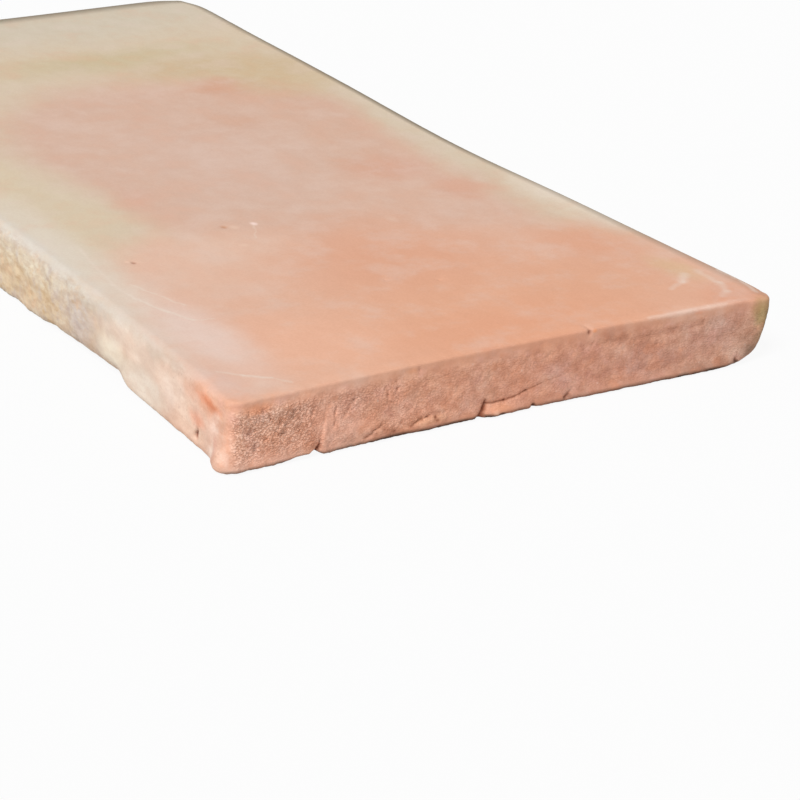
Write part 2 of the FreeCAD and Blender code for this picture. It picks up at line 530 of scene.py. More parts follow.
# %% Tears and pinholes
# Short tears in the rough part of the front end: start and end as X and Z, and share of the full depth.
TEARS = [
    ((-95.7, 16.4), (-95.4, 14.4), 0.6), ((-91.3, 7.9), (-91.0, 6.6), 0.7),
    ((-86.5, 15.8), (-86.0, 14.6), 0.5), ((-83.2, 9.6), (-80.6, 9.2), 0.6),
    ((-86.2, 11.1), (-84.0, 10.8), 0.5), ((-93.4, 11.6), (-91.6, 12.0), 0.5),
    ((-77.6, 15.6), (-78.8, 13.4), 0.5), ((-75.9, 16.6), (-75.4, 14.8), 0.5),
    ((-71.4, 14.8), (-72.2, 12.6), 0.55), ((-63.6, 13.6), (-64.2, 11.6), 0.7),
    ((-63.8, 9.6), (-64.1, 8.4), 0.5), ((-59.2, 13.4), (-57.6, 15.0), 0.4),
    ((-57.6, 15.0), (-55.6, 15.7), 0.35), ((-45.4, 14.6), (-45.5, 13.2), 0.6),
    ((-88.6, 18.0), (-87.0, 17.6), 0.5), ((-82.6, 12.9), (-80.9, 12.3), 0.6),
    ((-77.0, 10.6), (-76.0, 9.4), 0.5), ((-89.4, 9.3), (-87.6, 9.0), 0.5),
    ((-60.6, 11.2), (-58.8, 12.6), 0.5), ((-73.4, 10.0), (-73.0, 8.6), 0.4),
]
TEAR_WIDTHS = (0.42, 0.36)
TEAR_DEPTH = 0.8
for tear_start, tear_end, tear_share in TEARS:
    crease([tear_start, tear_end], TEAR_WIDTHS, (TEAR_DEPTH * tear_share,) * 2, INTO_FRONT)
# Pinholes in the front end: X, Z and depth.
PINHOLES = [(-46.4, 16.4, 0.5), (-42.6, 17.5, 0.5), (-42.2, 15.3, 0.7), (-43.0, 13.8, 0.4),
            (-34.5, 19.8, 0.5), (-11.3, 15.0, 0.25), (-12.0, 13.6, 0.25), (41.0, 13.2, 0.3),
            (53.5, 12.9, 0.3), (71.4, 17.4, 0.3)]
PINHOLE_SIZE = (0.55, 4, 0.6)
PINHOLE_SHADE = 1.6
for hole_x, hole_z, hole_depth in PINHOLES:
    push((hole_x, -199, hole_z), PINHOLE_SIZE, (0, hole_depth, 0), hollow=PINHOLE_SHADE * hole_depth)
print(f"{len(TEARS)} tears, {len(PINHOLES)} pinholes")

# %% Slanted lap
# The slanted lap, with its flap standing out below.
push((-4.0, -199, 1.6), (6.0, 5, 2.0), (0, -1.2, -0.3))
push((7.5, -199, 3.8), (9, 5, 2.4), (0, -0.5, 0))
crease([(-12.3, 0.4), (-11.0, 2.6), (-10.4, 4.6)], (1.2, 0.8), (1.2, 1.0), INTO_FRONT)
crease([(-10.3, 5.8), (-10.1, 4.6), (-7.1, 4.4), (-3.5, 4.5)], (0.45, 0.45), (0.4, 0.5), INTO_FRONT)
crease([(-3.5, 4.5), (0.1, 5.0), (4.4, 6.2)], (0.42, 0.36), (0.45, 0.35), INTO_FRONT)
crease([(4.4, 6.2), (10.1, 7.5), (19.5, 9.0)], (0.34, 0.3), (0.35, 0.1), INTO_FRONT)
push((-7.2, -199.5, 1.4), (1.6, 4, 1.3), (0, -0.5, -0.2))
# A shallow ledge under the top edge, on the right.
crease([(26, 16.6), (44, 15.9), (58, 15.7), (76, 16.8)], (1.2, 1.2), (0.26, 0.16), INTO_FRONT)
print(f"slanted lap: up to {pressed.max():.1f} mm deep in all")

# %% Nicks and corners
# Nicks in the bottom edge, a chip in the top edge, the worn right corners and a lip squeezed out at the bed.
push((7.2, -199, 0.5), (0.9, 4, 1.0), (0, 1.2, 0.4), hollow=1.0)
crease([(19.0, 1.2), (22.0, 3.3)], (0.6, 0.4), (1.0, 0.3), INTO_FRONT)
push((85.7, -199, 2.0), (1.0, 4, 1.0), (0, 0.9, 0.2), hollow=0.8)
push((27.6, -198, 21.2), (0.8, 1.5, 1.2), (0, 1.1, -0.7), hollow=1.8)
push((100, -200, 0), (9, 9, 8), (-4.4, 2.0, 0.4))
push((96, -200, 0), (7, 9, 3), (-1.2, 0.6, 0.7))
push((100, -200, 11), (8, 10, 6), (-0.8, 0.4, 0))
push((99, -199, 22), (9, 9, 6), (0, 0, -0.8))
push((100, 200, 22), (13, 13, 30), (-5.0, -4.6, 0))
push((28, -200, 0), (42, 6, 2.5), (0, -1.0, 0))
print(f"corners: {np.ptp(points[:, 0]):.1f} mm across")

# %% Left wall and pits
# The foot at the near left corner, the gouge beside it and the shallow ledge along the left wall.
push((-99, -195, 1), (6, 5.5, 5.5), (-2.8, -0.3, 0))
crease([(-178.9, 6.0), (-178.2, 4.2)], (0.6, 0.9), (1.4, 2.6), INTO_LEFT)
crease([(-178.2, 4.2), (-175.6, 2.9)], (0.6, 0.4), (1.2, 0.3), INTO_LEFT)
crease([(-112, 12.6), (-128, 13.0), (-147, 13.6)], (2.6, 2.0), (0.35, 0.15), INTO_LEFT)
crease([(-121, 2.0), (-126, 4.6), (-129, 8.5)], (3.0, 3.5), (0.7, 0.3), INTO_LEFT)

# Pits in the wear face, each where the bow has moved its middle point.
PIT_REACH = 3
for pit_x, pit_y, pit_radius, pit_depth in PITS:
    middle = points[np.hypot(true_x - pit_x, true_y - pit_y).argmin()].copy()
    pit_size = (pit_radius, pit_radius * PIT_STRETCH, PIT_REACH)
    push(middle, pit_size, (0, 0, -pit_depth), hollow=pit_depth)
print("pushed slab: {:.1f} x {:.1f} x {:.1f} mm".format(*np.ptp(points, axis=0)))

# %% [markdown]
# The sand of the mould stays in the walls, and how much of it shows differs from place to place. That is
# kept as attributes, one number for each point: the finish reads them for colour, and the relief reads them
# for depth. Sand is the grain of the mould, dents are the drag marks of the front end, and rocky is the
# coarse part of the left wall. Arris is the worn top edge. Rim is the ragged bottom edge and, at the front
# end, the top edge too. Two more carry painted shade: a dark line on the top edges of the right and far
# walls, where they round away from the lamp, and a dark band under the bottom edges. Pressed is how deep the
# creases go, so that painted shade can darken them.

# %% Walls and edges
def soft(values, start, end):
    """A smooth step from 0 at the start to 1 at the end."""
    share = np.clip((values - start) / (end - start), 0, 1)
    return share * share * (3 - 2 * share)


def spot(at, size):
    """A soft-edged ellipsoid, 1 in its middle."""
    return np.exp(-(((points - np.array(at)) / np.array(size)) ** 2).sum(axis=1))


# The top edge of the front end is ragged too, but less than the bottom edge.
TOP_RAGGED = 0.7
# How far the trowelled skin of the wear face reaches down a wall, what the left wall adds, and its wobble.
SKIN_REACH = 0.5
LEFT_SKIN = 0.6
SKIN_WOBBLE = 0.3
# The left top edge is worn in two stretches: shares of the wear that start near the front and further back.
NEAR_WEAR = 0.55
FAR_WEAR = 0.45

x, y, z = points.T
on_wall = soft(-edge_depth, -6.5, -4.0)
front_wall = soft(-true_y, half_length - 4.0, half_length - 0.8) * on_wall
left_wall = soft(-true_x, half_width - 10, half_width - 6) * (1 - front_wall) * on_wall
rim = soft(-z, -4.0, -1.0) * on_wall
rim = np.maximum(rim, TOP_RAGGED * front_wall * soft(z, thickness - 3.0, thickness - 0.8))
# Two waves along the edge, which cross each other.
wobble = 0.7 * np.sin((x + y) / 6.1) + 0.5 * np.sin(x / 2.3 - y / 3.7)
skin = SKIN_REACH + LEFT_SKIN * left_wall
below_top = soft(thickness - z + SKIN_WOBBLE * skin * wobble, 0.4 * skin, 1.6 * skin) * on_wall
arris = soft(z, thickness - 4.0, thickness - 1.0) * soft(-edge_depth, -7.5, -2.5)
arris *= (1 - front_wall) * (NEAR_WEAR * soft(y, -190, -165) + FAR_WEAR * soft(y, -120, -50))
print(f"share of points: front end {front_wall.mean():.2f}, left wall {left_wall.mean():.2f}")

# %% Sand and dents
# How sandy the front end is by X, and the left wall along its length, near the front and at its foot.
SANDY_FRONT = [(-75, 0.97), (-48, 0.7), (-25, 0.58), (30, 0.48), (80, 0.52)]
SANDY_SIDE = 0.24
SANDY_NEAR = 0.36
SANDY_FOOT = 0.48
# The share of its sand that the front end has under its top edge, and the share that a ragged rim loses.
SANDY_TOP = 0.3
RIM_LOSS = 0.5
# Middle, reach and strength of the places where the front end is smoother, and where it is dented.
SMOOTH_SPOTS = [((-67, -200, 11), (4.5, 30, 8), 0.4), ((-57, -200, 6), (7, 30, 4), 0.4),
                ((-84, -200, 2.5), (12, 30, 3), 0.35)]
DENT_SPOTS = [((-86, -200, 12.5), (14, 30, 6.5), 1.0), ((-57, -200, 14), (7, 30, 4.5), 0.9),
              ((-44, -200, 15), (5, 30, 4), 0.6), ((-74, -200, 8), (5, 30, 6), 0.6),
              ((-5, -200, 2.5), (7, 30, 2.5), 0.4)]
LEAST_DENT = 0.1

front_sand = np.interp(x, *zip(*SANDY_FRONT))
front_sand = front_sand * (SANDY_TOP + (1 - SANDY_TOP) * soft(thickness - z, 1.2, 5.5))
side_sand = SANDY_SIDE + (SANDY_NEAR - SANDY_SIDE) * soft(-y, 150, 172)
side_sand += (SANDY_FOOT - SANDY_NEAR) * soft(-y, 186, 198) * soft(-z, -9.0, -4.0)
front_share = front_wall * soft(x, -99.8, -97.0)
sand = below_top * (side_sand + (front_sand - side_sand) * front_share) * (1 - RIM_LOSS * rim)
for at, size, share in SMOOTH_SPOTS:
    sand *= 1 - share * spot(at, size)
dents = np.full(len(points), LEAST_DENT)
for at, size, share in DENT_SPOTS:
    dents = np.maximum(dents, share * spot(at, size))
dents *= front_wall * soft(thickness - z, 1.5, 4.5)
print(f"sand up to {sand.max():.2f}, dents up to {dents.max():.2f}")

# %% Rock and painted shade of the edges
# Strengths of the painted shade on the far and right top edges, lower down, and what the front end is spared.
FAR_EDGE_SHADE = 0.85
RIGHT_EDGE_SHADE = 0.8
LOW_EDGE_SHADE = 0.12
FRONT_SPARED = 0.8
# Towards the front the painted shade of the right edge moves out by this many mm.
EDGE_SHADE_SHIFT = 0.9
# How dark the painted shade under the bottom edge of the front end is, by X,
# and how much lower it lies on the left wall.
RIM_SHADE_FRONT = [(-100, 0.6), (-80, 0.8), (-74, 1.0), (-65, 0.8), (-55, 1.0), (-10, 1.0), (5, 0.6), (45, 0.7),
               (60, 1.0), (100, 1.0)]
LEFT_RIM_SHADE_DROP = 0.7

rocky = left_wall * soft(y, -125, -90) * below_top
# Painted shade on the far and right top edges, which round away from the lamp, and a little lower down.
far_edge = soft(true_y, half_length - 11.5, half_length - 1.0) * FAR_EDGE_SHADE
right_edge = soft(true_x - EDGE_SHADE_SHIFT * soft(-y, 0, 90), half_width - 4.8, half_width - 2.6)
right_edge *= soft(y, -330, 0) * RIGHT_EDGE_SHADE
edge_shade = np.maximum(far_edge, right_edge) * (1 - FRONT_SPARED * front_wall)
edge_shade *= LOW_EDGE_SHADE + (1 - LOW_EDGE_SHADE) * soft(z, thickness - 2.8, thickness - 1.0)
# Painted shade in a band under the bottom edges.
rim_shade = soft(-z - LEFT_RIM_SHADE_DROP * left_wall, -1.7, -0.5) * on_wall
rim_shade = rim_shade * (1 - left_wall * soft(-y, 110, 122))
rim_shade *= 1 + (np.interp(x, *zip(*RIM_SHADE_FRONT)) - 1) * front_wall
print(f"rock up to {rocky.max():.2f}, dust up to {edge_shade.max():.2f}, grime up to {rim_shade.max():.2f}")

# %% Mesh with its attributes
ATTRIBUTES = {"sand": sand, "dents": dents, "rocky": rocky, "arris": arris, "rim": rim, "edge_shade": edge_shade,
              "rim_shade": rim_shade, "pressed": pressed}
slab_mesh = bpy.data.meshes.new("slab")
slab_mesh.from_pydata((points * MM).tolist(), [], faces)
for name, values in ATTRIBUTES.items():
    layer = slab_mesh.attributes.new(name, "FLOAT", "POINT")
    layer.data.foreach_set("value", values.astype(np.float32))
slab_mesh.update()
slab = bpy.data.objects.new("slab", slab_mesh)
bpy.context.scene.collection.objects.link(slab)
print("attributes:", ", ".join(f"{name} {values.mean():.2f}" for name, values in ATTRIBUTES.items()))

# %% [markdown]
# The relief is a Geometry Nodes tree, because it follows the whole surface by one rule: each point moves
# along its own normal by a sum of noises. The wear face only sways, a trowel's gentle hills. The walls have
# grains, lumps and slanted dents. A Displace modifier could do one of these, but not with a mask for each.
# The tree keeps the depth of its hollows as an attribute, for the finish to paint shade into them.

# %% Relief tree
relief, given, result = make_group("clay_relief", "GeometryNodeTree", [
    ("Geometry", "NodeSocketGeometry", None),
    ("Sway Length", "NodeSocketFloat", 85.0),
    ("Sway Height", "NodeSocketFloat", 0.22),
    ("Grain Size", "NodeSocketFloat", 2.4),
    ("Grain Height", "NodeSocketFloat", 0.62),
    ("Lump Size", "NodeSocketFloat", 4.0),
    ("Lump Height", "NodeSocketFloat", 0.5),
    ("Dent Size", "NodeSocketFloat", 1.3),
    ("Dent Depth", "NodeSocketFloat", 0.3),
    ("Rock Size", "NodeSocketFloat", 8.0),
    ("Rock Height", "NodeSocketFloat", 1.2),
    ("Rim Wear", "NodeSocketFloat", 0.3),
    ("Finish", "NodeSocketMaterial", None)], [("Geometry", "NodeSocketGeometry", None)])
NOISE_ROUGHNESS = 0.55
SEEDS = {"sway": 3.1, "grain": 11.7, "lump": 23.4, "dent": 5.9, "rock": 17.3, "rim": 31.2}


def named(name):
    """A point attribute of the slab, inside the relief tree."""
    node = add_node(relief, "GeometryNodeInputNamedAttribute", {"Name": name}, data_type="FLOAT")
    return node.outputs["Attribute"]


def noise_in(size, seed, vector, detail=2.0, crinkle=0.0):
    """A noise from about -1 to 1, in patches of the given size in mm. Crinkle ruffles their edges."""
    scale = calculate(relief, "DIVIDE", 1.0, size)
    node = add_node(relief, "ShaderNodeTexNoise",
                    {"Vector": vector, "W": seed, "Scale": scale, "Detail": detail,
                     "Roughness": NOISE_ROUGHNESS, "Distortion": crinkle},
                    noise_dimensions="4D")
    return calculate(relief, "MULTIPLY_ADD", node.outputs[0], 2.0, -1.0)


print(f"relief tree: {len(SEEDS)} noises to come")

# %% Sway, sand and lumps
SWAY_DETAIL = 1.0
GRAIN_DETAIL = 3.0
GRAIN_CRINKLE = 0.8
place = scaled(relief, relief.nodes.new("GeometryNodeInputPosition").outputs[0], 1 / MM)
sway_noise = noise_in(given["Sway Length"], SEEDS["sway"], place, SWAY_DETAIL)
sway = multiply(relief, sway_noise, given["Sway Height"])
grain_noise = noise_in(given["Grain Size"], SEEDS["grain"], place, GRAIN_DETAIL, GRAIN_CRINKLE)
grain = multiply(relief, grain_noise, given["Grain Height"])
lump = multiply(relief, noise_in(given["Lump Size"], SEEDS["lump"], place), given["Lump Height"])
sandy = multiply(relief, calculate(relief, "ADD", grain, lump), named("sand"))
print(f"relief tree: {len(relief.nodes)} nodes with sway, sand and lumps")

# %% Dents, rock and rim
DENT_SLANT = math.radians(-48)
DENT_STRETCH = (1.0, 1.0, 0.5)
DENT_CRINKLE = 1.0
# A dent starts where its noise falls below the first value and is full at the second.
DENT_RANGE = (-0.02, -0.4)
ROCK_STRETCH = (1.0, 0.9, 0.9)
slanted = add_node(relief, "ShaderNodeVectorRotate", {"Vector": place, "Angle": DENT_SLANT},
                   rotation_type="Y_AXIS")
stretched = calculate_vector(relief, "MULTIPLY", slanted.outputs[0], DENT_STRETCH)
dent_noise = noise_in(given["Dent Size"], SEEDS["dent"], stretched, crinkle=DENT_CRINKLE)
hollow = ramp(relief, dent_noise, *DENT_RANGE)
dent = multiply(relief, hollow, named("dents"), given["Dent Depth"], -1.0)
dragged = calculate_vector(relief, "MULTIPLY", place, ROCK_STRETCH)
rock_noise = noise_in(given["Rock Size"], SEEDS["rock"], dragged)
rock = multiply(relief, rock_noise, named("rocky"), given["Rock Height"])
rim_noise = noise_in(given["Lump Size"], SEEDS["rim"], place)
ragged = multiply(relief, rim_noise, named("rim"), given["Rim Wear"])
print(f"relief tree: {len(relief.nodes)} nodes with dents, rock and rim")

# %% Moving the points
depth = calculate(relief, "ADD", calculate(relief, "ADD", sandy, dent),
                  calculate(relief, "ADD", rock, ragged))
total = multiply(relief, calculate(relief, "ADD", depth, sway), MM)
offset = scaled(relief, relief.nodes.new("GeometryNodeInputNormal").outputs[0], total)
kept = add_node(relief, "GeometryNodeStoreNamedAttribute",
                {"Geometry": given["Geometry"], "Name": "relief",
                 "Value": calculate(relief, "SUBTRACT", depth, named("pressed"))},
                data_type="FLOAT", domain="POINT")
moved = add_node(relief, "GeometryNodeSetPosition", {"Geometry": kept.outputs[0], "Offset": offset})
smooth = add_node(relief, "GeometryNodeSetShadeSmooth", {"Geometry": moved.outputs[0]})
real = add_node(relief, "GeometryNodeRealizeInstances", {"Geometry": smooth.outputs[0]})
finished = add_node(relief, "GeometryNodeSetMaterial",
                    {"Geometry": real.outputs[0], "Material": given["Finish"]})
relief.links.new(finished.outputs[0], result["Geometry"])
print(f"relief tree: {len(relief.nodes)} nodes")

# %% Relief on the slab
fired_terracotta = bpy.data.materials.new("fired_terracotta")
modifier = slab.modifiers.new("relief", "NODES")
modifier.node_group = relief
sockets = {item.name: item.identifier for item in relief.interface.items_tree if item.in_out == "INPUT"}
modifier[sockets["Finish"]] = fired_terracotta
bpy.context.view_layer.update()
evaluated = slab.evaluated_get(bpy.context.evaluated_depsgraph_get())
tile_mesh = bpy.data.meshes.new_from_object(evaluated)
tile_mesh.name = "terracotta_slab"
tile = bpy.data.objects.new("terracotta_slab", tile_mesh)
bpy.context.scene.collection.objects.link(tile)
bpy.data.objects.remove(slab)
triangles = sum(len(face.vertices) - 2 for face in tile_mesh.polygons)
floor.location.z = min(vertex.co.z for vertex in tile_mesh.vertices)
print(f"tile: {triangles} triangles, lowest point {floor.location.z / MM:.2f} mm")

# %% [markdown]
# The colour of the clay comes from the fire. Where the flame touched, iron and lime turned it straw, and the
# sheltered heart stayed salmon. Each patch is a soft ellipsoid with a wavering edge. One node group makes
# the wavering place, one makes a patch, and one makes a hairline, and the material places them again and
# again with their own sizes. An image would be quicker, but it would fit this one side only.

# %% Wavering place
NOISE_MIDDLE = (0.5, 0.5, 0.5)
wavering, given, result = make_group("wavering_place", "ShaderNodeTree", [
    ("Place", "NodeSocketVector", None), ("Length", "NodeSocketFloat", 40.0),
    ("Amount", "NodeSocketFloat", 14.0)], [("Place", "NodeSocketVector", None)])
scale = calculate(wavering, "DIVIDE", 1.0, given["Length"])
noise = add_node(wavering, "ShaderNodeTexNoise",
                 {"Vector": given["Place"], "Scale": scale, "Detail": 4.0, "Roughness": 0.6})
shift = calculate_vector(wavering, "SUBTRACT", noise.outputs["Color"], NOISE_MIDDLE)
shift = scaled(wavering, shift, given["Amount"])
wavering.links.new(calculate_vector(wavering, "ADD", given["Place"], shift), result["Place"])
print("group:", wavering.name)

# %% Soft patch
soft_patch, given, result = make_group("soft_patch", "ShaderNodeTree", [
    ("Place", "NodeSocketVector", None), ("Centre", "NodeSocketVector", None),
    ("Size", "NodeSocketVector", None), ("Softness", "NodeSocketFloat", 0.6),
    ("Amount", "NodeSocketFloat", 1.0)], [("Mask", "NodeSocketFloat", None)])
away = calculate_vector(soft_patch, "SUBTRACT", given["Place"], given["Centre"])
away = calculate_vector(soft_patch, "DIVIDE", away, given["Size"])
inner = calculate(soft_patch, "SUBTRACT", 1.0, given["Softness"])
mask = ramp(soft_patch, calculate_vector(soft_patch, "LENGTH", away), 1.0, inner)
soft_patch.links.new(multiply(soft_patch, mask, given["Amount"]), result["Mask"])
print("group:", soft_patch.name)

# %% Hairline
hairline, given, result = make_group("hairline", "ShaderNodeTree", [
    ("Place", "NodeSocketVector", None), ("From", "NodeSocketVector", None), ("To", "NodeSocketVector", None),
    ("Width", "NodeSocketFloat", 0.5), ("Amount", "NodeSocketFloat", 1.0)],
    [("Mask", "NodeSocketFloat", None)])
run = calculate_vector(hairline, "SUBTRACT", given["To"], given["From"])
ahead = calculate_vector(hairline, "SUBTRACT", given["Place"], given["From"])
share = calculate(hairline, "DIVIDE", calculate_vector(hairline, "DOT_PRODUCT", ahead, run),
                  calculate_vector(hairline, "DOT_PRODUCT", run, run))
share = calculate(hairline, "MAXIMUM", calculate(hairline, "MINIMUM", share, 1.0), 0.0)
foot = scaled(hairline, run, share)
mask = ramp(hairline, calculate_vector(hairline, "DISTANCE", ahead, foot), given["Width"], 0.0)
hairline.links.new(multiply(hairline, mask, given["Amount"]), result["Mask"])
print("group:", hairline.name)

# %% Clay grain
# Clouds are this much coarser than the grain, and grit makes up this share of it.
CLOUD_SCALE = 0.05
GRIT_SHARE = 0.35
GRIT_REACH = 0.8
clay_grain, given, result = make_group("clay_grain", "ShaderNodeTree", [
    ("Place", "NodeSocketVector", None), ("Size", "NodeSocketFloat", 0.8)],
    [("Grain", "NodeSocketFloat", None), ("Cloud", "NodeSocketFloat", None)])
scale = calculate(clay_grain, "DIVIDE", 1.0, given["Size"])
fine = add_node(clay_grain, "ShaderNodeTexNoise",
                {"Vector": given["Place"], "Scale": scale, "Detail": 3.0, "Roughness": 0.7})
grit = add_node(clay_grain, "ShaderNodeTexVoronoi", {"Vector": given["Place"], "Scale": scale})
grit_height = ramp(clay_grain, grit.outputs["Distance"], GRIT_REACH, 0.0)
broad = add_node(clay_grain, "ShaderNodeTexNoise",
                 {"Vector": given["Place"], "Scale": multiply(clay_grain, scale, CLOUD_SCALE),
                  "Detail": 5.0, "Roughness": 0.6})
mixed = calculate(clay_grain, "MULTIPLY_ADD", grit_height, GRIT_SHARE,
                  multiply(clay_grain, fine.outputs[0], 1 - GRIT_SHARE))
clay_grain.links.new(mixed, result["Grain"])
clay_grain.links.new(broad.outputs[0], result["Cloud"])
print("group:", clay_grain.name)

# %% Specks
specks, given, result = make_group("specks", "ShaderNodeTree", [
    ("Place", "NodeSocketVector", None), ("Spacing", "NodeSocketFloat", 4.0),
    ("Size", "NodeSocketFloat", 0.5), ("Share", "NodeSocketFloat", 0.3)], [("Mask", "NodeSocketFloat", None)])
scale = calculate(specks, "DIVIDE", 1.0, given["Spacing"])
cells = add_node(specks, "ShaderNodeTexVoronoi", {"Vector": given["Place"], "Scale": scale})
reach_of_speck = multiply(specks, given["Size"], scale)
dot = ramp(specks, cells.outputs["Distance"], reach_of_speck, 0.0)
lot = add_node(specks, "ShaderNodeSeparateColor", {0: cells.outputs["Color"]}).outputs[0]
chosen = calculate(specks, "LESS_THAN", lot, given["Share"])
specks.links.new(multiply(specks, dot, chosen), result["Mask"])
print("group:", specks.name)

# %% [markdown]
# Now the finish itself. It starts as straw all over and is painted from the broad patches to the small
# stains, in the order of the lists. A patch's third size is its reach in height: a large one colours the
# wear face and the wall together, as the fire did, and a small one stays on the wall. Bloom, the whitish
# haze of salts, lies on the worn edges; on the left top edge it is greyed with painted shade where the lamp
# falls full on it. The sand is darker in its hollows, as painted shade.

# %% Patches of the firing
STRAW = paint(215, 197, 172)
ALL_HEIGHTS = 300
# Centre, size, softness, amount and colour of each patch, in mm.
FIRED_PATCHES = [
    ((14, -50, 11), (78, 172, ALL_HEIGHTS), 0.32, 1.0, paint(218, 180, 159)),
    ((40, 22, 11), (54, 78, ALL_HEIGHTS), 0.45, 1.0, paint(215, 178, 157)),
    ((-8, 15, 11), (68, 98, ALL_HEIGHTS), 0.4, 1.0, paint(215, 180, 160)),
    ((-52, -112, 11), (58, 60, ALL_HEIGHTS), 0.5, 1.0, paint(227, 189, 167)),
    ((5, -205, 11), (145, 128, ALL_HEIGHTS), 0.3, 1.0, paint(226, 182, 158)),
    ((8, -125, 22), (66, 68, 30), 0.9, 0.8, paint(222, 163, 133)),
    ((5, -180, 11), (112, 75, ALL_HEIGHTS), 0.9, 0.9, paint(228, 170, 138)),
    ((8, -190, 11), (80, 35, ALL_HEIGHTS), 0.9, 0.6, paint(230, 164, 130)),
    ((-58, -172, 22), (46, 40, 30), 0.9, 0.6, paint(239, 184, 155)),
    ((55, -163, 22), (44, 34, 30), 0.9, 0.55, paint(223, 164, 132)),
    ((74, -132, 22), (26, 34, 30), 0.9, 0.7, paint(222, 161, 130)),
    ((90, -194, 22), (24, 22, 12), 0.9, 0.95, paint(224, 162, 132)),
    ((22, 124, 22), (80, 22, 30), 0.9, 0.7, paint(201, 184, 147)),
    ((30, 190, 22), (150, 58, 30), 0.7, 0.75, paint(208, 198, 179)),
    ((103, -25, 22), (24, 105, 30), 0.5, 0.95, paint(216, 199, 176)),
    ((97, -92, 22), (20, 46, 30), 0.8, 0.85, paint(232, 217, 199)),
    ((76, 80, 22), (38, 40, 30), 0.8, 0.75, paint(207, 182, 145)),
    ((50, 101, 22), (52, 22, 30), 0.9, 0.7, paint(205, 180, 144)),
    ((84, -164, 22), (10, 18, 12), 0.8, 0.7, paint(219, 184, 147)),
    ((-100, -20, 22), (54, 90, 30), 0.5, 1.0, paint(217, 200, 173)),
    ((48, 74, 22), (17, 17, 12), 0.9, 0.75, paint(212, 160, 132)),
    ((56, -38, 22), (26, 22, 12), 0.9, 0.75, paint(216, 165, 141)),
    ((68, -68, 22), (14, 18, 12), 0.9, 0.6, paint(217, 166, 142)),
    ((28, 30, 22), (20, 18, 12), 0.9, 0.5, paint(210, 166, 142)),
    ((-45, -30, 22), (16, 16, 12), 0.9, 0.5, paint(218, 172, 150)),
    ((0, -10, 22), (50, 80, 12), 0.9, 0.3, paint(219, 189, 175)),
]
print(f"{len(FIRED_PATCHES)} patches")
